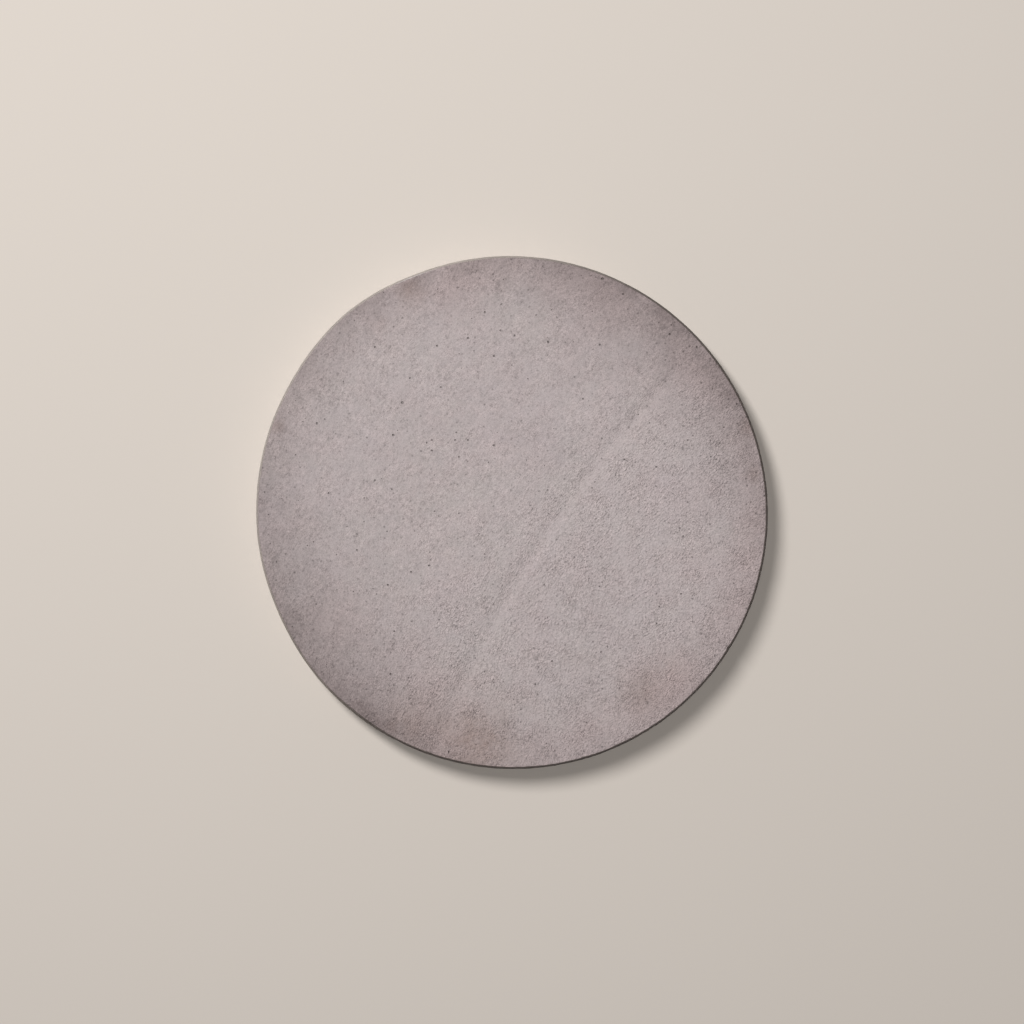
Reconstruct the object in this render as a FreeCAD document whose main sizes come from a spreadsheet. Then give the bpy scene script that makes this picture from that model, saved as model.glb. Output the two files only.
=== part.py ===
import FreeCAD, Part
import Sketcher
import math
import os

# Round garden stepping stone: one slab of cast concrete, in millimetres, +Z up, its base on Z = 0.
# It was cast face down in a hand-bent ring mould. The wall leans in from the base up to the tread
# so that the slab left the mould, the outline is a little oval, it swells where the mould strip
# lapped over itself, and one stretch of it is flattened. Both arrises are bevelled.
# Directions are degrees round the stone, counter-clockwise from +X, seen from above.
DIMENSIONS = {
    "base_diameter": 400.0,
    "slab_thickness": 35.0,
    "draft_angle": 5.0,
    "tread_bevel": 1.0,
    "base_bevel": 1.5,
    "ovality": 0.7,
    "ovality_direction": 125.0,
    "lap_swell": 1.8,
    "lap_direction": 130.0,
    "lap_half_width": 22.0,
    "flat_depth": 0.8,
    "flat_direction": 204.0,
    "flat_half_width": 20.0,
}

# The outline is a closed cubic spline with control points spaced evenly round the stone.
CONTROL_POINTS = 36
SPLINE_DEGREE = 3
POINT_SPACING = 360.0 / CONTROL_POINTS

# The spline runs inside its control points, so they stand further out than the outline by this factor.
CONTROL_REACH = 3.0 / (2.0 + math.cos(math.radians(POINT_SPACING)))

# How a sketch's constraint names the sketch's own origin and, by its index, a circle's centre.
SKETCH_ORIGIN = (-1, 1)
CENTRE_INDEX = 3


def make_sheet(document):
    """The spreadsheet that drives every size of the stone."""
    sheet = document.addObject("Spreadsheet::Sheet", "dimensions")
    for row, (alias, value) in enumerate(DIMENSIONS.items(), start=1):
        sheet.set(f"A{row}", alias)
        sheet.set(f"B{row}", str(value))
        sheet.setAlias(f"B{row}", alias)
    document.recompute()


def bump_expression(direction, centre, half_width):
    """A smooth rise from 0 to 1 and back to 0 along the outline, highest at the centre's direction."""
    away = f"abs(mod({direction} - dimensions.{centre} + 540; 360) - 180)"
    width = f"dimensions.{half_width}"
    return f"({away} < {width} ? (1 + cos(180 * {away} / {width})) / 2 : 0)"


def place_expressions(direction, inset):
    """The X and Y of the control point in one direction, for an outline drawn in by an inset."""
    oval = f"dimensions.ovality * cos(2 * ({direction} - dimensions.ovality_direction))"
    lap = f"dimensions.lap_swell * {bump_expression(direction, 'lap_direction', 'lap_half_width')}"
    flat = f"dimensions.flat_depth * {bump_expression(direction, 'flat_direction', 'flat_half_width')}"
    radius = f"(dimensions.base_diameter / 2 + {oval} + {lap} - {flat} - ({inset}))"
    reach = f"{CONTROL_REACH} * {radius}"
    return f"{reach} * cos({direction})", f"{reach} * sin({direction})"


def make_outline(body, name, height, inset):
    """A sketch of the stone's outline at one height, drawn in towards the axis by an inset."""
    plane = next(feature for feature in body.Origin.OriginFeatures if feature.Role == "XY_Plane")
    sketch = body.newObject("Sketcher::SketchObject", name)
    sketch.AttachmentSupport = [(plane, "")]
    sketch.MapMode = "FlatFace"
    sketch.setExpression("AttachmentOffset.Base.z", height)

    places = [place_expressions(POINT_SPACING * step, inset) for step in range(CONTROL_POINTS)]
    points = [FreeCAD.Vector(sketch.evalExpression(x), sketch.evalExpression(y)) for x, y in places]
    spline = sketch.addGeometry(Part.BSplineCurve(points, None, None, True, SPLINE_DEGREE))
    sketch.exposeInternalGeometry(spline)
    controls = [i for i, shape in enumerate(sketch.Geometry) if isinstance(shape, Part.Circle)]

    for control, point, (x_place, y_place) in zip(controls, points, places):
        across = Sketcher.Constraint("DistanceX", *SKETCH_ORIGIN, control, CENTRE_INDEX, point.x)
        along = Sketcher.Constraint("DistanceY", *SKETCH_ORIGIN, control, CENTRE_INDEX, point.y)
        across_index, along_index = sketch.addConstraint([across, along])
        sketch.setExpression(f"Constraints[{across_index}]", x_place)
        sketch.setExpression(f"Constraints[{along_index}]", y_place)
    return sketch


def make_stone(document):
    """The slab: a loft from the tread down to the base, through both edges of each bevel."""
    body = document.addObject("PartDesign::Body", "stepping_stone")
    body.Label = "stepping_stone"

    tread = "dimensions.slab_thickness"
    tread_bevel = "dimensions.tread_bevel"
    base_bevel = "dimensions.base_bevel"
    lean = "tan(dimensions.draft_angle)"
    outlines = [
        make_outline(body, "tread_outline", tread, f"{tread} * {lean} + {tread_bevel}"),
        make_outline(body, "wall_top", f"{tread} - {tread_bevel}", f"({tread} - {tread_bevel}) * {lean}"),
        make_outline(body, "wall_foot", base_bevel, f"{base_bevel} * {lean}"),
        make_outline(body, "base_outline", "0", base_bevel),
    ]

    slab = body.newObject("PartDesign::AdditiveLoft", "slab")
    slab.Profile = outlines[0]
    slab.Sections = outlines[1:]
    slab.Ruled = True
    document.recompute()
    return body


def check(document, piece):
    """Stops the build if anything in the document failed or the piece isn't one good solid."""
    for item in document.Objects:
        if "Invalid" in item.State or "Error" in item.State:
            raise RuntimeError(f"{item.Label} failed: {item.State}")
    if piece.Shape.isNull() or not piece.Shape.isValid() or len(piece.Shape.Solids) != 1:
        raise RuntimeError(f"{piece.Label} is not one valid solid")


def main():
    document = FreeCAD.newDocument("garden_stepping_stone")
    make_sheet(document)
    stone = make_stone(document)
    check(document, stone)
    os.makedirs("parts", exist_ok=True)
    stone.Shape.exportStep(f"parts/{stone.Label}.step")
    print(f"{stone.Label}: volume {stone.Shape.Volume:.0f} cubic mm")


main()
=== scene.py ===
import math

import bpy
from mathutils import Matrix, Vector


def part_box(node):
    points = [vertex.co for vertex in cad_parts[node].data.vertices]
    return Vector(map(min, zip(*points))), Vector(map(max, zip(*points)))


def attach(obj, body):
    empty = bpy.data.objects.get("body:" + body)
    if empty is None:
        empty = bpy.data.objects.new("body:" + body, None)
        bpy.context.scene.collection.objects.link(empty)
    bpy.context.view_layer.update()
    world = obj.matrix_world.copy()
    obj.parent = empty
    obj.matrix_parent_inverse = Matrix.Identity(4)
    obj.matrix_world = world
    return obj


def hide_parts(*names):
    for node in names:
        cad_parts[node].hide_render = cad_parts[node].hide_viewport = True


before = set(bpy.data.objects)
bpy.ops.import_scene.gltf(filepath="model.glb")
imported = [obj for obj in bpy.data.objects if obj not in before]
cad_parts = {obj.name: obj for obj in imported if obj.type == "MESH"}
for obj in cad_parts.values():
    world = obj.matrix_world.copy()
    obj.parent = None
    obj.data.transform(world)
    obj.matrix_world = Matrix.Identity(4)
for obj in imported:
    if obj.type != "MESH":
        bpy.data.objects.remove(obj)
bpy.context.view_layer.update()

# The stepping stone as it looks: a cast concrete slab, seen from straight above on a pale floor.
# Lengths are metres, and directions are turned from +X towards +Y, the top of the main view.
MM = 0.001
STONE_LOW, STONE_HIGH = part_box("stepping_stone")
THICKNESS = STONE_HIGH[2] - STONE_LOW[2]
BASE_RADIUS = (STONE_HIGH[0] - STONE_LOW[0] + STONE_HIGH[1] - STONE_LOW[1]) / 4
DRAFT = math.radians(5.0)
TREAD_ARRIS = 0.4 * MM
BASE_ARRIS = 1.0 * MM
TREAD_RADIUS = BASE_RADIUS - THICKNESS * math.tan(DRAFT) - TREAD_ARRIS
SLAB = {"Base Radius": BASE_RADIUS, "Tread Radius": TREAD_RADIUS, "Thickness": THICKNESS}

# How far apart the points of the skin lie, and the fewest that a ring of them has
TREAD_SPACING = 1.6 * MM
WALL_SPACING = 2.0 * MM
BASE_SPACING = 5.0 * MM
ARRIS_STEPS = 3
FEWEST_POINTS = 6

# The mould's outline: a slight oval, a swell where its strip lapped, and one flat stretch
OUTLINE = {
    "Ovality": 0.7 * MM, "Ovality Direction": math.radians(125.0),
    "Lap Swell": 1.8 * MM, "Lap Direction": math.radians(130.0), "Lap Half Width": math.radians(22.0),
    "Flat Depth": 0.8 * MM, "Flat Direction": math.radians(204.0), "Flat Half Width": math.radians(20.0),
}

# The float's last sweep left a shallow mark along an arc. Distances from it are positive on the
# upper left, which was left smooth, and negative on the lower right, which was dragged.
SWEEP_CENTRE = (0.724, -0.480)
SWEEP_RADIUS = 0.833
MARK_START = -3.0 * MM
MARK_LOW = 5.0 * MM
MARK_END = 16.0 * MM

# Up the tread, the mark is faint at first, then clear, and it ends short of the top
MARK_FAINT = -120.0 * MM
MARK_CLEAR = 80.0 * MM
MARK_ENDING = 85.0 * MM
MARK_GONE = 130.0 * MM
FAINT_SHARE = 0.6

# The tread is fully dragged up to one distance from the mark, and smooth past another. Both
# distances grow by this share of the way down the tread.
DRAG_FULL = -40.0 * MM
DRAG_GONE = 120.0 * MM
DRAG_SPREAD = 0.35

# Each kind of relief has its height or depth, and the length over which it varies
RELIEF = {
    "Wave Height": 0.35 * MM, "Wave Length": 62.0 * MM, "Ripple Length": 18.0 * MM,
    "Mark Depth": 0.75 * MM, "Mark Length": 45.0 * MM, "Mark Unevenness": 0.5,
    "Grain Height": 0.12 * MM, "Grain Size": 3.5 * MM,
    "Wall Roughness": 0.6 * MM, "Wall Grain": 8.0 * MM,
    "Base Roughness": 0.5 * MM, "Base Grain": 11.0 * MM,
    "Arris Wear": 0.36 * MM, "Arris Drop": 0.3 * MM, "Wear Length": 14.0 * MM,
    "Chip Depth": 1.0 * MM, "Chip Drop": 0.8 * MM, "Chip Grain": 5.0 * MM, "Chip Unevenness": 1.5,
    "Lip Wear": 0.5 * MM,
}

# Chips along the tread's arris, as (direction and half width in degrees, depth against the Chip Depth)
CHIPS = ((234.0, 8.0, 0.5), (228.5, 1.2, 0.4), (328.0, 0.9, 0.6), (78.0, 1.6, 0.4), (171.0, 1.2, 0.3))

# The stretch of arris that is rounded over into a lip, painted pale as worn cement and as a highlight
LIP_DIRECTION = math.radians(113.0)
LIP_HALF_WIDTH = math.radians(9.0)

# Where the arris's wear and its lip start and are full, as distances out from the tread's edge
WORN_RIM = (-1.8 * MM, 0.3 * MM)
LIP_RIM = (-1.0 * MM, 0.4 * MM)

# Depths below the tread where chips fade out and are full, and where pits start and stop growing
CHIPPED_DEPTHS = (5.0 * MM, 0.5 * MM)
GROWING_DEPTHS = (2.0 * MM, 5.0 * MM)

# How far below the tread it gives way to the wall, and how far above the ground the base does
SHAPE_BANDS = {"tread_band": (3.0 * MM, 0.5 * MM), "base_band": (0.2 * MM, 1.0 * MM)}
FINISH_BANDS = {"tread_band": (1.8 * MM, 0.9 * MM), "base_band": (0.1 * MM, 0.8 * MM)}

# How much of each there is where the tread is smooth, and where it was dragged
RIPPLE_SHARES = (0.15, 0.3)
GRAIN_SHARES = (0.6, 1.2)
PIT_SHARES = (1.0, 0.7)

# How far a pattern is drawn out along the sweep, and across it
RIPPLE_STRETCH = (4.0, 1.0)
GRAIN_STRETCH = (1.4, 0.9)

# The noise of a broken surface has finer noise in it, up to this detail and this roughness
BROKEN = {"detail": 3.0, "roughness": 0.6}

# The noise levels at which worn stretches, hollows in the base and clusters of pits start and are full
WORN_STRETCHES = (-0.05, 0.35)
BASE_HOLLOWS = (0.0, 0.3)
PIT_CLUSTERS = (-0.12, 0.2)

# The pits that are scattered: how many, how large, and how much deeper than wide
PITS = {
    "Pits per Square Metre": 9000.0, "Pit Spacing": 2.2 * MM, "Pit Cluster": 22.0 * MM, "Lone Pits": 0.15,
    "Least Radius": 0.28 * MM, "Most Radius": 0.65 * MM, "Pit Deepness": 1.3, "Wall Pit Growth": 1.7,
}

# How far the skin faces up, from -1 on the base to 1 on the tread, where pits start and are full
PITTED_SLOPES = (-0.5, -0.2)

# No pit lies within a spacing of a pinhole, and they are full from this many spacings on
PIN_CLEARANCE = 1.2

# The larger this power, the more of the pits are small
SMALL_PITS = 3.0

# The ball that cuts a pit: its faces, and how far it is drawn out one way
BALL_SEGMENTS = 8
BALL_RINGS = 5
BALL_STRETCH = (0.8, 1.25)

# The seed of all that is random, and what each draw adds to it
SEED = 7
RADIUS_DRAW = 0.0
STRETCH_DRAW = 1.0

# The pinholes that show most, as (x, y, width) in millimetres. The first six rows were placed one by one,
# and the places from the seventh row on were listed by a search for dark spots.
PINHOLES = (
    (-21, 155, 1.9), (-9, 141, 1.6), (-34, 135, 2.0), (-58, 129, 1.7), (-106, 128, 1.9), (-14, 121, 1.6),
    (-55, 97, 1.7), (-79, 104, 1.6), (-85, 85, 2.4), (-151, 69, 2.0), (-92, 60, 2.1), (-62, 48, 1.9),
    (-44, 56, 1.8), (-34, 56, 1.7), (-14, 52, 1.9), (-41, 43, 1.7), (70, 181, 2.4), (86, 169, 1.7),
    (28, 132, 2.0), (68, 130, 1.7), (122, 138, 1.9), (143, 128, 1.9), (55, 88, 1.6), (174, 84, 1.8),
    (136, 56, 1.5), (-64, -41, 1.9), (-78, -46, 1.8), (-96, -56, 1.7), (-120, -29, 1.6), (-94, -125, 1.9),
    (-49, -185, 1.8), (131, -63, 1.7), (112, -86, 1.7), (69, -108, 1.8), (157, -111, 1.4), (17, -105, 1.4),
    (-62, 56, 1.7), (-66, 54, 1.5), (-43, 62, 1.5), (-106, 25, 1.6), (-93, 18, 1.4), (-142, 15, 1.6),
    (-60, 1, 1.4), (2, 137, 1.5), (-91, -92, 1.5), (-80, -128, 1.4), (18, -133, 1.7), (31, -115, 1.6),
    (74, -104, 1.6), (25, -56, 1.5), (87, 41, 1.5), (130, -12, 1.6), (136, 8, 1.5), (114, -73, 1.4),
    (164, 66, 1.4),
)
PIN_ATTRIBUTE = "width"
PIT_ATTRIBUTE = "in_pit"

# Edges that turn by more than this stay crisp
CRISP_ANGLE = math.radians(40.0)


class Field:
    """One output socket of a node tree, used as a value in an expression."""

    def __init__(self, socket):
        self.socket = socket
        self.tree = socket.id_data

    @classmethod
    def node(cls, tree, kind, settings=None, sockets=None, output=0):
        """Adds a node: its settings first, then each socket's value or links. Gives one of its outputs."""
        node = tree.nodes.new(kind)
        for name, value in (settings or {}).items():
            setattr(node, name, value)
        for name, value in (sockets or {}).items():
            for link in value if isinstance(value, list) else [value]:
                if isinstance(link, Field):
                    tree.links.new(link.socket, node.inputs[name])
                else:
                    node.inputs[name].default_value = link
        return cls(node.outputs[output]) if node.outputs else None

    def beside(self, output):
        """Another output of the same node."""
        return Field(self.socket.node.outputs[output])

    def math(self, operation, *values):
        sockets = dict(enumerate((self,) + values))
        return Field.node(self.tree, "ShaderNodeMath", {"operation": operation}, sockets)

    def reflected(self, operation, first):
        return Field.node(self.tree, "ShaderNodeMath", {"operation": operation}, {0: first, 1: self})

    def __add__(self, other):
        return self.math("ADD", other)

    __radd__ = __add__

    def __mul__(self, other):
        return self.math("MULTIPLY", other)

    __rmul__ = __mul__

    def __sub__(self, other):
        return self.math("SUBTRACT", other)

    def __rsub__(self, other):
        return self.reflected("SUBTRACT", other)

    def __truediv__(self, other):
        return self.math("DIVIDE", other)

    def __rtruediv__(self, other):
        return self.reflected("DIVIDE", other)

    def __pow__(self, exponent):
        return self.math("POWER", exponent)

    def most(self, other):
        return self.math("MINIMUM", other)

    def least(self, other):
        return self.math("MAXIMUM", other)

    def ease(self, start, end):
        """0 up to start, 1 from end on, and a smooth change between. Start may be the higher of the two."""
        settings = {"interpolation_type": "SMOOTHSTEP"}
        return Field.node(self.tree, "ShaderNodeMapRange", settings, {0: self, 1: start, 2: end})

    def hump(self, centre, half_width):
        """1 at the centre, falling smoothly to 0 a half width away on both sides."""
        return 1.0 - (self - centre).math("ABSOLUTE").ease(0.0, half_width)

    def between(self, low, high):
        """Low where this is 0 and high where it is 1."""
        return (high - low) * self + low


def split(place):
    """The x, y and z of a place."""
    parts = Field.node(place.tree, "ShaderNodeSeparateXYZ", None, {0: place})
    return [parts.beside(axis) for axis in range(3)]


def joined(x, y, z):
    """The place or vector with these three parts, at least the first of them a field."""
    return Field.node(x.tree, "ShaderNodeCombineXYZ", None, {0: x, 1: y, 2: z})


def length(x, y):
    return (x * x + y * y).math("SQRT")


def direction_of(x, y):
    return y.math("ARCTAN2", x)


def noise(place, size, detail=1.0, roughness=0.5):
    """A soft random field about zero, with features of about this size."""
    sockets = {"Vector": place, "Scale": 1.0 / size, "Detail": detail, "Roughness": roughness}
    return Field.node(place.tree, "ShaderNodeTexNoise", None, sockets) - 0.5


# Where things lie on the stone, for its shape and its finish alike


def sweep_distance(x, y):
    """How far a place on the tread lies from the float's sweep mark."""
    return length(x - SWEEP_CENTRE[0], y - SWEEP_CENTRE[1]) - SWEEP_RADIUS


def swept(place, along, across):
    """A place measured along and across the float's sweep, so that a pattern is drawn out with the sweep."""
    x, y, z = split(place)
    x, y = x - SWEEP_CENTRE[0], y - SWEEP_CENTRE[1]
    return joined(direction_of(x, y) * (SWEEP_RADIUS / along), length(x, y) / across, z / across)


def dragged_side(x, y):
    """1 where the float dragged the tread, 0 where it left it smooth."""
    return 1.0 - (sweep_distance(x, y) + y * DRAG_SPREAD).ease(DRAG_FULL, DRAG_GONE)


def mark_strength(y):
    """How clear the sweep mark is, this far up the tread."""
    return y.ease(MARK_FAINT, MARK_CLEAR).between(FAINT_SHARE, 1.0) * y.ease(MARK_GONE, MARK_ENDING)


def bulge(direction, centre, half_width):
    """1 in one direction from the axis, falling smoothly to 0 a half width to either side."""
    away = (direction - centre).math("COSINE").math("ARCCOSINE")
    return ((away / half_width).most(1.0) * math.pi).math("COSINE") * 0.5 + 0.5


def mould_swell(direction, sizes):
    """How far the mould's outline stands out from a true round in one direction."""
    oval = ((direction - sizes["Ovality Direction"]) * 2.0).math("COSINE") * sizes["Ovality"]
    lap = bulge(direction, sizes["Lap Direction"], sizes["Lap Half Width"]) * sizes["Lap Swell"]
    flat = bulge(direction, sizes["Flat Direction"], sizes["Flat Half Width"]) * sizes["Flat Depth"]
    return oval + lap - flat


class Spot:
    """Where a place lies on the stone. Depth is below the tread, and rim is out from the tread's edge."""

    def __init__(self, place, sizes, tread_band, base_band):
        self.place = place
        self.x, self.y, self.z = split(place)
        self.depth = sizes["Thickness"] - self.z
        self.on_tread = self.depth.ease(*tread_band)
        self.on_base = 1.0 - self.z.ease(*base_band)
        self.radius = length(self.x, self.y).least(MM)
        self.direction = direction_of(self.x, self.y)
        self.rim = self.radius - mould_swell(self.direction, sizes) - sizes["Tread Radius"]
        self.lip = bulge(self.direction, LIP_DIRECTION, LIP_HALF_WIDTH)
        self.sweep = sweep_distance(self.x, self.y)
        self.dragged = dragged_side(self.x, self.y)


# The plain skin of the slab, before its outline and relief


def section_rings():
    """The skin's rings as (radius, height, point spacing), from the tread's middle round to the base's."""
    rings = []
    steps = round(TREAD_RADIUS / TREAD_SPACING)
    for step in range(1, steps + 1):
        rings.append((TREAD_RADIUS * step / steps, THICKNESS, TREAD_SPACING))
    for step in range(1, ARRIS_STEPS + 1):
        turn = (math.pi / 2 - DRAFT) * step / ARRIS_STEPS
        rings.append((TREAD_RADIUS + TREAD_ARRIS * math.sin(turn),
                      THICKNESS - TREAD_ARRIS * (1 - math.cos(turn)), TREAD_SPACING))
    wall_top, wall_foot = rings[-1][1], BASE_ARRIS
    rows = round((wall_top - wall_foot) / WALL_SPACING)
    for row in range(1, rows + 1):
        height = wall_top + (wall_foot - wall_top) * row / rows
        rings.append((BASE_RADIUS - height * math.tan(DRAFT), height, WALL_SPACING))
    for step in range(1, ARRIS_STEPS + 1):
        turn = math.pi / 2 * step / ARRIS_STEPS
        rings.append((BASE_RADIUS - BASE_ARRIS * (1 - math.cos(turn)),
                      BASE_ARRIS * (1 - math.sin(turn)), WALL_SPACING))
    steps = round((BASE_RADIUS - BASE_ARRIS) / BASE_SPACING)
    for step in range(1, steps):
        rings.append(((BASE_RADIUS - BASE_ARRIS) * (1 - step / steps), 0.0, BASE_SPACING))
    return rings


def zip_rings(first, second):
    """Triangles between two rings of point numbers, each ring evenly spaced round the stone."""
    faces = []
    i = j = 0
    while i < len(first) or j < len(second):
        a, b = first[i % len(first)], second[j % len(second)]
        if j == len(second) or (i < len(first) and (i + 1) / len(first) < (j + 1) / len(second)):
            faces.append((a, b, first[(i + 1) % len(first)]))
            i += 1
        else:
            faces.append((a, b, second[(j + 1) % len(second)]))
            j += 1
    return faces


def new_piece(name, points, faces):
    mesh = bpy.data.meshes.new(name)
    mesh.from_pydata(points, [], faces)
    mesh.update()
    piece = bpy.data.objects.new(name, mesh)
    bpy.context.scene.collection.objects.link(piece)
    return piece


def plain_skin(name):
    """The slab as a closed skin of evenly spaced points: a true round with no relief."""
    points = [(0.0, 0.0, THICKNESS)]
    faces = []
    before = None
    for radius, height, spacing in section_rings():
        count = max(FEWEST_POINTS, round(2 * math.pi * radius / spacing))
        ring = list(range(len(points), len(points) + count))
        turns = [2 * math.pi * i / count for i in range(count)]
        points += [(radius * math.cos(turn), radius * math.sin(turn), height) for turn in turns]
        if before is None:
            faces += [(0, ring[i], ring[(i + 1) % count]) for i in range(count)]
        else:
            faces += zip_rings(before, ring)
        before = ring
    points.append((0.0, 0.0, 0.0))
    last = len(points) - 1
    faces += [(before[i], last, before[(i + 1) % len(before)]) for i in range(len(before))]
    return new_piece(name, points, faces)


def pinhole_places(name):
    """A point for each pinhole that shows most, with its width."""
    places = new_piece(name, [(x * MM, y * MM, THICKNESS) for x, y, _ in PINHOLES], [])
    widths = places.data.attributes.new(PIN_ATTRIBUTE, "FLOAT", "POINT")
    widths.data.foreach_set("value", [width * MM for _, _, width in PINHOLES])
    return places


# The node tree that shapes the skin


def position(tree):
    return Field.node(tree, "GeometryNodeInputPosition")


def moved(skin, x, y, z):
    sockets = {"Geometry": skin, "Offset": joined(x, y, z)}
    return Field.node(skin.tree, "GeometryNodeSetPosition", None, sockets)


def outlined(skin, given):
    """The true round moved out to the mould's outline."""
    x, y, _ = split(position(skin.tree))
    gain = mould_swell(direction_of(x, y), given) / given["Base Radius"]
    return moved(skin, x * gain, y * gain, 0.0)


def tread_lift(spot, given):
    """How far the tread rises above level: the float's waves and ripples, its sweep mark, and the grain."""
    ripples = noise(swept(spot.place, *RIPPLE_STRETCH), given["Ripple Length"])
    ripples = ripples * spot.dragged.between(*RIPPLE_SHARES)
    waves = (noise(spot.place, given["Wave Length"]) + ripples) * given["Wave Height"]
    mark = spot.sweep.ease(MARK_START, MARK_LOW) * (1.0 - spot.sweep.ease(MARK_LOW, MARK_END))
    mark = mark * (noise(spot.place, given["Mark Length"]) * given["Mark Unevenness"] + 1.0)
    mark = mark * mark_strength(spot.y) * given["Mark Depth"]
    grain = noise(swept(spot.place, *GRAIN_STRETCH), given["Grain Size"], detail=2.0)
    grain = grain * spot.dragged.between(*GRAIN_SHARES) * given["Grain Height"]
    return waves - mark + grain


def chipping(spot, given):
    """How much of the Chip Depth is broken off the arris, in each direction."""
    broken = 0.0
    for centre, half_width, share in CHIPS:
        broken = bulge(spot.direction, math.radians(centre), math.radians(half_width)) * share + broken
    return broken * (noise(spot.place, given["Chip Grain"], detail=2.0) * given["Chip Unevenness"] + 1.0)


def with_relief(skin, given):
    """The cast surface: relief on the tread, a worn and chipped arris, and an uneven wall and base."""
    spot = Spot(position(skin.tree), given, **SHAPE_BANDS)
    on_wall = (1.0 - spot.on_tread) * (1.0 - spot.on_base)
    upper_wall = spot.depth.ease(*CHIPPED_DEPTHS)
    near_arris = spot.rim.ease(*WORN_RIM)

    worn = noise(spot.place, given["Wear Length"], **BROKEN).ease(*WORN_STRETCHES)
    worn = worn * near_arris * spot.on_tread
    chipped = chipping(spot, given) * near_arris * upper_wall
    lip = spot.lip * spot.rim.ease(*LIP_RIM) * upper_wall * given["Lip Wear"]
    hollows = noise(spot.place, given["Base Grain"], **BROKEN).ease(*BASE_HOLLOWS) * spot.on_base
    lift = tread_lift(spot, given) * spot.on_tread + hollows * given["Base Roughness"]
    lift = lift - worn * given["Arris Drop"] - chipped * given["Chip Drop"] - lip

    uneven = noise(spot.place, given["Wall Grain"], **BROKEN) * on_wall * given["Wall Roughness"]
    gain = (uneven - worn * given["Arris Wear"] - chipped * given["Chip Depth"] + lip) / spot.radius
    return moved(skin, spot.x * gain, spot.y * gain, lift)


def chance(given, low, high, draw):
    """A random value for each point. The node's sockets 2 and 3 and its output 1 are those for numbers."""
    sockets = {2: low, 3: high, "Seed": given["Seed"] + draw}
    return Field.node(given["Seed"].tree, "FunctionNodeRandomValue", {"data_type": "FLOAT"}, sockets, 1)


def placed_pins(skin, given):
    """The points of the pinholes that show most, brought onto the skin."""
    tree = skin.tree
    pins = Field.node(tree, "GeometryNodeObjectInfo", None, {"Object": given["Pinholes"]}, "Geometry")
    pins = Field.node(tree, "GeometryNodeMeshToPoints", None, {"Mesh": pins})
    on_skin = Field.node(tree, "GeometryNodeProximity", {"target_element": "FACES"}, {0: skin}, "Position")
    return Field.node(tree, "GeometryNodeSetPosition", None, {"Geometry": pins, "Position": on_skin})


def scattered_pits(skin, pins, given):
    """Points for small pits: in clusters, fewer where dragged, clear of the pinholes and none underneath."""
    tree = skin.tree
    place = position(tree)
    x, y, _ = split(place)
    facing_up = split(Field.node(tree, "GeometryNodeInputNormal"))[2]
    clustered = noise(place, given["Pit Cluster"], detail=2.0).ease(*PIT_CLUSTERS)
    share = dragged_side(x, y).between(*PIT_SHARES) * facing_up.ease(*PITTED_SLOPES)
    share = share * clustered.between(given["Lone Pits"], 1.0)
    settings = {"target_element": "POINTS"}
    from_pins = Field.node(tree, "GeometryNodeProximity", settings, {0: pins}, "Distance")
    spacing = given["Pit Spacing"]
    share = share * from_pins.ease(spacing, spacing * PIN_CLEARANCE)
    settings = {"distribute_method": "POISSON"}
    sockets = {"Mesh": skin, "Distance Min": spacing, "Density Max": given["Pits per Square Metre"],
               "Density Factor": share, "Seed": given["Seed"]}
    return Field.node(tree, "GeometryNodeDistributePointsOnFaces", settings, sockets)


def scattered_radius(given):
    """The radius of each scattered pit: most are small, and those in the wall are larger."""
    height = split(position(given["Seed"].tree))[2]
    on_wall = (given["Thickness"] - height).ease(*GROWING_DEPTHS)
    small = chance(given, 0.0, 1.0, RADIUS_DRAW) ** SMALL_PITS
    radius = small.between(given["Least Radius"], given["Most Radius"])
    return radius * on_wall.between(1.0, given["Wall Pit Growth"])


def pit_ball(tree):
    """A coarse ball that cuts one pit. Its faces are marked, so that the finish can paint shade into the
    pit.
    """
    sockets = {"Segments": BALL_SEGMENTS, "Rings": BALL_RINGS, "Radius": 1.0}
    ball = Field.node(tree, "GeometryNodeMeshUVSphere", None, sockets)
    settings = {"data_type": "FLOAT", "domain": "FACE"}
    sockets = {"Geometry": ball, "Name": PIT_ATTRIBUTE, "Value": 1.0}
    return Field.node(tree, "GeometryNodeStoreNamedAttribute", settings, sockets)


def cutters(points, ball, radius, given, turned):
    """A ball of this radius on each point, a little longer one way than the other."""
    stretch = chance(given, *BALL_STRETCH, STRETCH_DRAW)
    scale = joined(radius * stretch, radius / stretch, radius * given["Pit Deepness"])
    sockets = {"Points": points, "Instance": ball, "Scale": scale} | turned
    return Field.node(points.tree, "GeometryNodeInstanceOnPoints", None, sockets)


def with_pits(skin, given):
    """Cuts the pits that air bubbles left: the pinholes that show most, and small ones scattered about."""
    tree = skin.tree
    pins = placed_pins(skin, given)
    scattered = scattered_pits(skin, pins, given)
    ball = pit_ball(tree)
    settings = {"data_type": "FLOAT"}
    widths = Field.node(tree, "GeometryNodeInputNamedAttribute", settings, {"Name": PIN_ATTRIBUTE})
    turned = {"Rotation": scattered.beside("Rotation")}
    both = [cutters(pins, ball, widths * 0.5, given, {}),
            cutters(scattered, ball, scattered_radius(given), given, turned)]
    both = Field.node(tree, "GeometryNodeJoinGeometry", None, {"Geometry": both})
    both = Field.node(tree, "GeometryNodeRealizeInstances", None, {"Geometry": both})
    settings = {"operation": "DIFFERENCE", "solver": "MANIFOLD"}
    cut = Field.node(tree, "GeometryNodeMeshBoolean", settings, {"Mesh 1": skin, "Mesh 2": both})
    return Field.node(tree, "GeometryNodeTriangulate", None, {"Mesh": cut})


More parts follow.
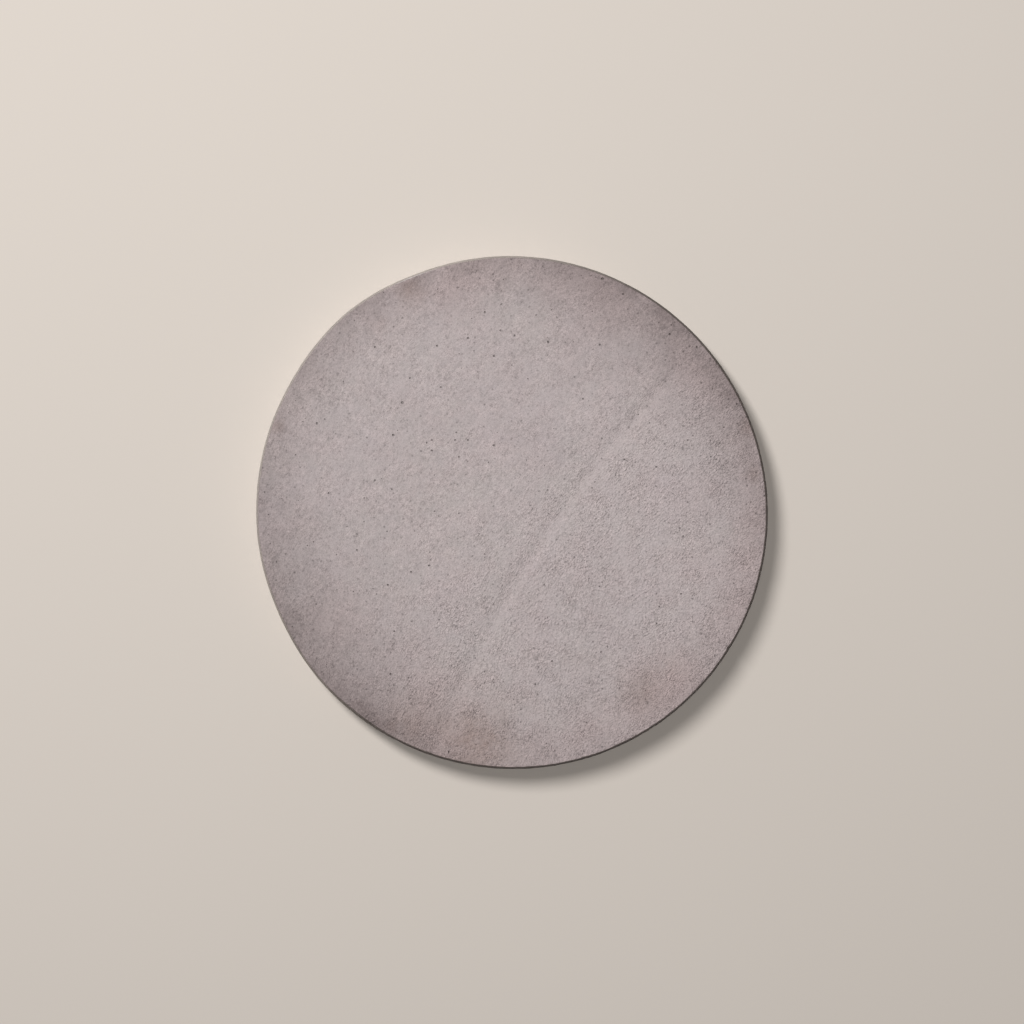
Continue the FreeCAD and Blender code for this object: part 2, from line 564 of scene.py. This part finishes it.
def shaded(skin):
    """Smooth faces, with the edges of pits and chips kept crisp."""
    tree = skin.tree
    smooth = Field.node(tree, "GeometryNodeSetShadeSmooth", {"domain": "FACE"},
                        {"Geometry": skin, "Shade Smooth": True})
    soft_edge = Field.node(tree, "GeometryNodeInputMeshEdgeAngle").math("LESS_THAN", CRISP_ANGLE)
    return Field.node(tree, "GeometryNodeSetShadeSmooth", {"domain": "EDGE"},
                      {"Geometry": smooth, "Shade Smooth": soft_edge})


def stone_shaper():
    """The tree that turns the plain skin into the cast stone."""
    sizes = dict.fromkeys([*SLAB, *OUTLINE, *RELIEF, *PITS], "Float")
    sizes |= {"Seed": "Int", "Pinholes": "Object", "Finish": "Material"}
    tree = bpy.data.node_groups.new("cast_stone", "GeometryNodeTree")
    tree.interface.new_socket("Geometry", in_out="OUTPUT", socket_type="NodeSocketGeometry")
    tree.interface.new_socket("Geometry", in_out="INPUT", socket_type="NodeSocketGeometry")
    for size, kind in sizes.items():
        tree.interface.new_socket(size, in_out="INPUT", socket_type=f"NodeSocket{kind}")
    skin = Field.node(tree, "NodeGroupInput")
    given = {size: skin.beside(size) for size in sizes}
    skin = shaded(with_pits(with_relief(outlined(skin, given), given), given))
    skin = Field.node(tree, "GeometryNodeRealizeInstances", None, {"Geometry": skin})
    skin = Field.node(tree, "GeometryNodeSetMaterial", None, {"Geometry": skin, "Material": given["Finish"]})
    Field.node(tree, "NodeGroupOutput", None, {"Geometry": skin})
    return tree


def shape(piece, tree, sizes):
    """Runs a shaping tree on a piece with these sizes, and keeps the result as the piece's plain mesh."""
    modifier = piece.modifiers.new(tree.name, "NODES")
    modifier.node_group = tree
    for item in tree.interface.items_tree:
        if item.in_out == "INPUT" and item.name in sizes:
            modifier[item.identifier] = sizes[item.name]
    result = piece.evaluated_get(bpy.context.evaluated_depsgraph_get())
    mesh = bpy.data.meshes.new_from_object(result)
    piece.modifiers.remove(modifier)
    plain = piece.data
    piece.data = mesh
    bpy.data.meshes.remove(plain)


# Finishes

# Colours of the concrete, clean and stained, of the wall's lit side and its side in painted shade, of the
# lip with a painted highlight, and of the floor
CEMENT = (0.442, 0.390, 0.378, 1.0)
MAUVE_CEMENT = (0.449, 0.386, 0.389, 1.0)
ROSY_CEMENT = (0.474, 0.382, 0.374, 1.0)
RIM_STAIN = (0.232, 0.186, 0.181, 1.0)
SOIL = (0.232, 0.146, 0.112, 1.0)
# The wall's two sides are painted as light and shade: pale towards the key lamp, dark away from it
LIT_SIDE_WALL = (0.560, 0.508, 0.480, 1.0)
# The lip's colour: worn cement, painted paler as a highlight where it faces the key lamp
WORN_AND_LIT_LIP = (0.680, 0.628, 0.605, 1.0)
SHADED_SIDE_WALL = (0.185, 0.160, 0.152, 1.0)
PLAIN_BASE = (0.400, 0.350, 0.335, 1.0)
PALE_FLOOR = (0.665, 0.604, 0.546, 1.0)

# Clouds in the colours, the tone and the bump, as (size, detail, roughness, strength)
STAIN_BLOTCHES = (24.0 * MM, 3.0, 0.6, 1.0)
SOIL_GRAIN = (12.0 * MM, 4.0, 0.75, 2.2)
ROSY_CLOUDS = (30.0 * MM, 6.0, 0.8, 1.5)
MAUVE_CLOUDS = (70.0 * MM, 7.0, 0.8, 2.4)
SANDY_CLOUDS = (15.0 * MM, 2.0, 0.5, 1.9)
ARRIS_CLOUDS = (18.0 * MM, 4.0, 0.7, 1.0)
# These clouds break up the edge of the wall's painted shade
SHADED_SIDE_CLOUDS = (20.0 * MM, 3.0, 0.6, 0.6)
WALL_MOTTLE = (9.0 * MM, 5.0, 0.75, 0.9)
DRAG_GRAIN = (1.4 * MM, 2.0, 0.5, 1.9)

# The rim's stain: where it starts, against the tread's radius, and how dark it gets. Each has its
# level, and what is added to the right, to the top, at upper right and lower left, and at all corners.
# They and the curve are rounded from a least-squares fit.
STAIN_START = {"level": 0.52, "right": 0.075, "up": 0.03, "diagonal": -0.18, "corners": 0.0}
STAIN_DARKNESS = {"level": 0.49, "right": -0.04, "up": 0.14, "diagonal": 0.26, "corners": 0.17}
STAIN_CURVE = 2.6

# How much of the cement is mauve and rosy, and the rosy rim, which leaves out the left of the stone
MAUVE_SHARE = 0.4
ROSY_SHARE = 0.17
ROSY_RIM_SHARE = 0.35
ROSY_RIM = (0.82 * TREAD_RADIUS, 0.95 * TREAD_RADIUS)
ROSY_SIDE = (-0.9, -0.3)

# The side of the wall that is painted dark as shade, as a direction in x and y, and how the painted shade
# comes in towards it
SHADED_SIDE = (0.85, -0.53)
SHADED_SIDE_TURN = (-0.7, 0.15)

# The lip's pale colour, partly worn cement and partly a painted highlight: how far out from the tread's edge
# and how high up the wall it shows, and how much it covers
PALE_LIP_RIM = (-0.1 * MM, 0.6 * MM)
PALE_LIP_HEIGHTS = (0.5 * THICKNESS, 0.8 * THICKNESS)
LIP_COVER = 0.7

# The pale arris: how far out from the tread's edge it shows, the cloud levels at which it does, its strength
PALE_ARRIS_RIM = (-4.5 * MM, -0.2 * MM)
PALE_ARRIS_LEVELS = (-0.1, 0.25)
PALE_ARRIS = 0.15

# The tread's tone, and how much paler it is where it was dragged, evenly and in clouds
TREAD_TONE = 0.995
DRAGGED_PALER = 0.135
DRAGGED_CLOUDS = 0.11

# The sweep mark in the finish, by distance from it: the tread is paler beside it on the dragged side,
# darker with painted shade in its hollow, and less sandy along its edge
BESIDE_MARK = (-110.0 * MM, -20.0 * MM)
BESIDE_MARK_PALER = 0.035
MARK_HOLLOW = {"centre": 10.0 * MM, "half_width": 5.0 * MM}
MARK_HOLLOW_SHADE = 0.05
MARK_EDGE = {"centre": 1.0 * MM, "half_width": 5.0 * MM}
MARK_EDGE_SMOOTHER = 0.4

# Sizes of sand that speckle the tread, each with how strongly it does where smooth and where dragged
SAND_GRADES = (
    (0.85 * MM, 0.75, 0.98), (2.5 * MM, 0.36, 0.45), (5.0 * MM, 0.22, 0.25), (10.0 * MM, 0.16, 0.14),
    (21.0 * MM, 0.16, 0.14),
)

# Past the finest grade, the sand darkens the tread more than it lightens it. Stains bring it out.
COARSE_DARKENS = 1.1
COARSE_LIGHTENS = 0.75
STAINED_SAND = 0.4

# How far the sand and the drag's grain are drawn out along the sweep, and across it
SAND_STRETCH = (1.15, 0.88)
DRAG_STRETCH = (1.3, 0.85)

# Dark grains in the tread, as (spacing, share of places that hold one, width, strength), how much they
# show where it is smooth and where it was dragged, and the share of a grain's reach that is fully dark
DARK_GRAINS = ((2.6 * MM, 0.5, 1.7 * MM, 0.16), (7.0 * MM, 0.4, 2.0 * MM, 0.30))
DARK_GRAIN_SHARES = (1.0, 1.5)
DARK_GRAIN_CORE = 0.4

# How much shade is painted into the faces of a pit, making them darker
PIT_PAINTED_SHADE = 0.45

# How high the two finest grades stand, and how far dark grains and scored lines sink in, in millimetres
SAND_HEIGHTS = (0.2, 0.3)
DARK_DEPTH = 0.5

# The gloss of the concrete, with how much the third grade of sand changes its roughness, and of the floor
CONCRETE_ROUGHNESS = 0.9
SANDY_ROUGHNESS = 0.3
CONCRETE_SHINE = 0.3
FLOOR_ROUGHNESS = 0.95
FLOOR_SHINE = 0.1

# Brown soil that stayed on the tread, as (x, y, reach in millimetres, strength)
SOIL_PATCHES = (
    (100, -140, 27, 0.20), (121, -121, 30, 0.12), (-30, -180, 44, 0.28), (-14, -158, 60, 0.08),
    (-76, -162, 36, 0.18), (-79, 171, 18, 0.22), (-104, 146, 12, 0.10), (-182, 67, 9, 0.22),
    (183, 66, 12, 0.18), (187, 30, 10, 0.14),
)

# Where the cement is rosy, in the same terms
ROSY_PATCHES = (
    (-36, 172, 40, 0.35), (66, 166, 60, 0.40), (140, 112, 45, 0.30), (112, -135, 52, 0.45),
    (61, -153, 30, 0.25), (-69, -132, 48, 0.40), (-137, -85, 42, 0.35), (-45, -170, 60, 0.30),
    (183, -40, 90, 0.20),
)

# Dark smears, most of them along the lower left of the rim, in the same terms
DARK_SMEARS = (
    (-108, -162, 15, 0.35), (-120, -154, 13, 0.35), (-94, -166, 12, 0.20), (99, -139, 24, 0.16),
    (-76, 178, 20, 0.20),
)

# Where the tread is paler, or darker where the strength is negative, in the same terms
PALE_PATCHES = (
    (128, -48, 80, 0.06), (42, -37, 25, 0.04), (89, 148, 22, 0.05), (-169, 87, 25, 0.05),
    (-153, -104, 25, -0.05), (-40, 166, 25, -0.05), (50, 110, 25, -0.04), (25, 50, 35, -0.05),
    (-99, -14, 35, -0.03), (108, -91, 32, 0.05), (18, -15, 28, 0.03),
)

# Thin lines scored in the tread, as (x, y, half length in millimetres, direction in degrees)
SCORES = (
    (20, -113, 3.0, 96), (64, -132, 6.0, 178), (171, 42, 4.0, 44), (166, 40, 3.0, 132), (83, 48, 3.0, 60),
    (-62, 186, 6.0, 23),
)
SCORE_HALF_WIDTH = 0.8 * MM
SCORE_STRENGTH = 0.22


def mixed(factor, first, second):
    """The first colour where the factor is 0, the second where it is 1. Sockets 6 and 7 are for colours."""
    sockets = {0: factor, 6: first, 7: second}
    return Field.node(factor.tree, "ShaderNodeMix", {"data_type": "RGBA"}, sockets, 2)


def clouds(place, size, detail, roughness, strength):
    return noise(place, size, detail, roughness) * strength


def patches(spot, places):
    """How strongly any of these patches shows at a spot, each fading out from its middle."""
    shown = 0.0
    for patch_x, patch_y, reach, strength in places:
        away = length(spot.x - patch_x * MM, spot.y - patch_y * MM)
        shown = (1.0 - away.ease(0.0, reach * MM)) * strength + shown
    return shown


def specks(place, spacing, share, width):
    """Grains up to this width, in this share of places this far apart."""
    settings = {"voronoi_dimensions": "2D"}
    sockets = {"Vector": place, "Scale": 1.0 / spacing}
    cells = Field.node(place.tree, "ShaderNodeTexVoronoi", settings, sockets)
    chosen = split(cells.beside("Color"))[0].ease(1.0 - share, 1.0)
    reach = cells * (2.0 * spacing / width)
    return (1.0 - reach.ease(DARK_GRAIN_CORE, 1.0)) * chosen


def scores(spot):
    """The thin lines that are scored in the tread."""
    scored = 0.0
    for score_x, score_y, half_length, direction in SCORES:
        turn = math.radians(direction)
        from_x, from_y = spot.x - score_x * MM, spot.y - score_y * MM
        along = from_x * math.cos(turn) + from_y * math.sin(turn)
        across = from_y * math.cos(turn) - from_x * math.sin(turn)
        scored = along.hump(0.0, half_length * MM) * across.hump(0.0, SCORE_HALF_WIDTH) + scored
    return scored


def by_direction(spot, level, right, up, diagonal, corners):
    """A level that changes with the direction from the axis."""
    to_right, to_top = spot.x / spot.radius, spot.y / spot.radius
    on_diagonal = to_right * to_top * 2.0
    level = level + to_right * right + to_top * up
    return level + on_diagonal * diagonal + on_diagonal * on_diagonal * corners


def rim_stain(spot):
    """The blotchy tinge that deepens out to the tread's rim, most at upper right and lower left."""
    start = by_direction(spot, **STAIN_START)
    reach = ((spot.radius / TREAD_RADIUS - start) / (1.0 - start)).least(0.0) ** STAIN_CURVE
    tinge = reach * by_direction(spot, **STAIN_DARKNESS)
    return (tinge + patches(spot, DARK_SMEARS)) * (clouds(spot.place, *STAIN_BLOTCHES) + 1.0)


def tread_colour(spot, stain):
    """Mauve-grey cement that turns rosy towards the rim, under the rim's stain and the soil."""
    rosy = spot.radius.ease(*ROSY_RIM) * (spot.x / spot.radius).ease(*ROSY_SIDE) * ROSY_RIM_SHARE
    rosy = rosy + patches(spot, ROSY_PATCHES) + clouds(spot.place, *ROSY_CLOUDS) + ROSY_SHARE
    mauve = clouds(spot.place, *MAUVE_CLOUDS) + MAUVE_SHARE
    soil = patches(spot, SOIL_PATCHES) * (clouds(spot.place, *SOIL_GRAIN) + 1.0)
    cement = mixed(rosy, mixed(mauve, CEMENT, MAUVE_CEMENT), ROSY_CEMENT)
    return mixed(soil, mixed(stain, cement, RIM_STAIN), SOIL)


def wall_colour(spot, lip):
    """Painted light and shade: pale on the wall's side towards the key lamp, dark on its side away from it,
    and paler along the lip, partly worn cement and partly a painted highlight.
    """
    towards_shaded_side = (spot.x * SHADED_SIDE[0] + spot.y * SHADED_SIDE[1]) / spot.radius
    # Painted shade: the wall turns dark on its side away from the key lamp
    painted_shade = (towards_shaded_side + clouds(spot.place, *SHADED_SIDE_CLOUDS)).ease(*SHADED_SIDE_TURN)
    # The lip is painted pale, partly as worn cement and partly as a painted highlight
    bare_and_lit = lip * spot.z.ease(*PALE_LIP_HEIGHTS)
    return mixed(bare_and_lit, mixed(painted_shade, LIT_SIDE_WALL, SHADED_SIDE_WALL), WORN_AND_LIT_LIP)


def dark_marks(spot):
    """The dark grains in the tread, which show more where it was dragged, and the scored lines."""
    grains = 0.0
    for spacing, share, width, strength in DARK_GRAINS:
        grains = specks(spot.place, spacing, share, width) * strength + grains
    grains = grains * spot.dragged.between(*DARK_GRAIN_SHARES)
    return (grains + scores(spot) * SCORE_STRENGTH) * spot.on_tread


def sand(spot, grades):
    """How much the sand lightens or darkens the tread."""
    strengths = [spot.dragged.between(smooth, rough) for _, smooth, rough in SAND_GRADES]
    fine, *coarser = [grade * strength for grade, strength in zip(grades, strengths)]
    coarse = sum(coarser)
    return fine + coarse.most(0.0) * COARSE_DARKENS + coarse.least(0.0) * COARSE_LIGHTENS


def tread_tone(spot, dark, cloudy):
    """How light the tread is without its sand: paler where dragged and worn, and darker with painted shade
    in the sweep mark's hollow.
    """
    pale = spot.dragged * (DRAGGED_PALER + cloudy * DRAGGED_CLOUDS)
    pale = pale + patches(spot, PALE_PATCHES) * spot.on_tread + TREAD_TONE
    worn = clouds(spot.place, *ARRIS_CLOUDS).ease(*PALE_ARRIS_LEVELS) * spot.rim.ease(*PALE_ARRIS_RIM)
    beside_mark = spot.sweep.ease(MARK_LOW, MARK_START) * spot.sweep.ease(*BESIDE_MARK)
    # Painted shade darkens the side of the mark's hollow that faces away from the key lamp
    mark = beside_mark * BESIDE_MARK_PALER - spot.sweep.hump(**MARK_HOLLOW) * MARK_HOLLOW_SHADE
    return (pale - dark) * (1.0 + worn * spot.on_tread * PALE_ARRIS) * (1.0 + mark * spot.on_tread)


def concrete_finish():
    """Mauve-grey cast concrete: sandy, stained at the rim, and with painted shade darkening the wall's side
    away from the key lamp.
    """
    material = bpy.data.materials.new("cast_concrete")
    material.use_nodes = True
    tree = material.node_tree
    place = Field.node(tree, "ShaderNodeTexCoord", None, None, "Object")
    spot = Spot(place, SLAB | OUTLINE, **FINISH_BANDS)
    in_pit = Field.node(tree, "ShaderNodeAttribute", {"attribute_name": PIT_ATTRIBUTE}, None, "Fac")
    along_sweep = swept(place, *SAND_STRETCH)
    grades = [noise(along_sweep, size) for size, _, _ in SAND_GRADES]

    lip = spot.lip * spot.rim.ease(*PALE_LIP_RIM)
    stain = rim_stain(spot)
    tread_share = spot.on_tread * (1.0 - lip * LIP_COVER)
    colour = mixed(tread_share, wall_colour(spot, lip), tread_colour(spot, stain))
    colour = mixed(spot.on_base, colour, PLAIN_BASE)

    dark = dark_marks(spot)
    cloudy = clouds(place, *SANDY_CLOUDS)
    mark_edge = spot.sweep.hump(**MARK_EDGE) * mark_strength(spot.y) * spot.on_tread
    sandiness = (cloudy + 1.0) * (1.0 - mark_edge * MARK_EDGE_SMOOTHER)
    shade = tread_tone(spot, dark, cloudy) + sand(spot, grades) * sandiness * (stain * STAINED_SAND + 1.0)
    mottle = clouds(place, *WALL_MOTTLE) * (1.0 - spot.on_tread)
    # Painted shade darkens the faces of every pit
    shade = shade * (1.0 + mottle) * (1.0 - in_pit * PIT_PAINTED_SHADE)
    colour = Field.node(tree, "ShaderNodeVectorMath", {"operation": "SCALE"}, {0: colour, "Scale": shade})

    drag = clouds(swept(place, *DRAG_STRETCH), *DRAG_GRAIN) * spot.dragged
    height = sum(grade * height for grade, height in zip(grades, SAND_HEIGHTS)) + drag
    height = height * sandiness - dark * DARK_DEPTH
    normal = Field.node(tree, "ShaderNodeBump", None, {"Strength": 1.0, "Distance": MM, "Height": height})
    roughness = CONCRETE_ROUGHNESS + grades[2] * SANDY_ROUGHNESS
    shader = tree.nodes["Principled BSDF"]
    for socket, field in (("Base Color", colour), ("Normal", normal), ("Roughness", roughness)):
        tree.links.new(field.socket, shader.inputs[socket])
    shader.inputs["Specular IOR Level"].default_value = CONCRETE_SHINE
    return material


def floor_finish():
    material = bpy.data.materials.new("pale_floor")
    material.use_nodes = True
    shader = material.node_tree.nodes["Principled BSDF"]
    shader.inputs["Base Color"].default_value = PALE_FLOOR
    shader.inputs["Roughness"].default_value = FLOOR_ROUGHNESS
    shader.inputs["Specular IOR Level"].default_value = FLOOR_SHINE
    return material


def make_stone():
    stone = plain_skin("cast_stone")
    pinholes = pinhole_places("pinhole_places")
    sizes = {"Seed": SEED, "Pinholes": pinholes, "Finish": concrete_finish()}
    shape(stone, stone_shaper(), sizes | SLAB | OUTLINE | RELIEF | PITS)
    bpy.data.objects.remove(pinholes)
    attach(stone, "root")
    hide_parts("stepping_stone")


# Floor, light and camera

FLOOR_HALF = 4.0

# A lamp's level is its share of the light at which colours look as written
KEY_LAMP = {
    "toward": math.radians(131.0), "elevation": math.radians(63.5), "distance": 3.0,
    "height": 1.2, "width": 0.5, "level": 0.63,
}

# The softbox hangs overhead and is turned towards the top of the view, which it lights most
SOFTBOX_TILT = math.radians(60.0)
SOFTBOX = {
    "toward": 0.0, "elevation": math.radians(90.0), "distance": 5.0,
    "height": 0.5, "width": 0.5, "level": 0.27 / math.cos(SOFTBOX_TILT),
}
WORLD_LEVEL = 0.08

CAMERA_PLACE = (0.0, 0.4 * MM, 4.438)
CAMERA_LENS = 200.0
CAMERA_SENSOR = 36.0


def make_floor():
    half = FLOOR_HALF
    corners = [(-half, -half, 0), (half, -half, 0), (half, half, 0), (-half, half, 0)]
    floor = new_piece("floor", corners, [(0, 1, 2, 3)])
    floor.data.materials.append(floor_finish())


def make_lamp(name, toward, elevation, distance, height, width, level):
    """A soft lamp that faces the stone, and gives a level floor there its share of the light."""
    light = bpy.data.lights.new(name, "AREA")
    light.shape = "ELLIPSE"
    light.size = height
    light.size_y = width
    light.energy = level * math.pi ** 2 * distance ** 2 / math.sin(elevation)
    lamp = bpy.data.objects.new(name, light)
    lamp.location = (distance * math.cos(elevation) * math.cos(toward),
                     distance * math.cos(elevation) * math.sin(toward), distance * math.sin(elevation))
    lamp.rotation_euler = (0.0, math.pi / 2 - elevation, toward)
    lamp.visible_camera = False
    bpy.context.scene.collection.objects.link(lamp)
    return lamp


def make_light():
    make_lamp("key_lamp", **KEY_LAMP)
    softbox = make_lamp("overhead_softbox", **SOFTBOX)
    softbox.rotation_euler = (SOFTBOX_TILT, 0.0, 0.0)
    world = bpy.data.worlds.new("studio")
    world.use_nodes = True
    background = world.node_tree.nodes["Background"]
    background.inputs["Color"].default_value = (1.0, 1.0, 1.0, 1.0)
    background.inputs["Strength"].default_value = WORLD_LEVEL
    bpy.context.scene.world = world


def make_camera():
    camera = bpy.data.cameras.new("overhead_view")
    camera.lens = CAMERA_LENS
    camera.sensor_width = CAMERA_SENSOR
    view = bpy.data.objects.new("overhead_view", camera)
    view.location = CAMERA_PLACE
    bpy.context.scene.collection.objects.link(view)
    bpy.context.scene.camera = view


make_stone()
make_floor()
make_light()
make_camera()
bpy.context.scene.view_settings.view_transform = "Standard"
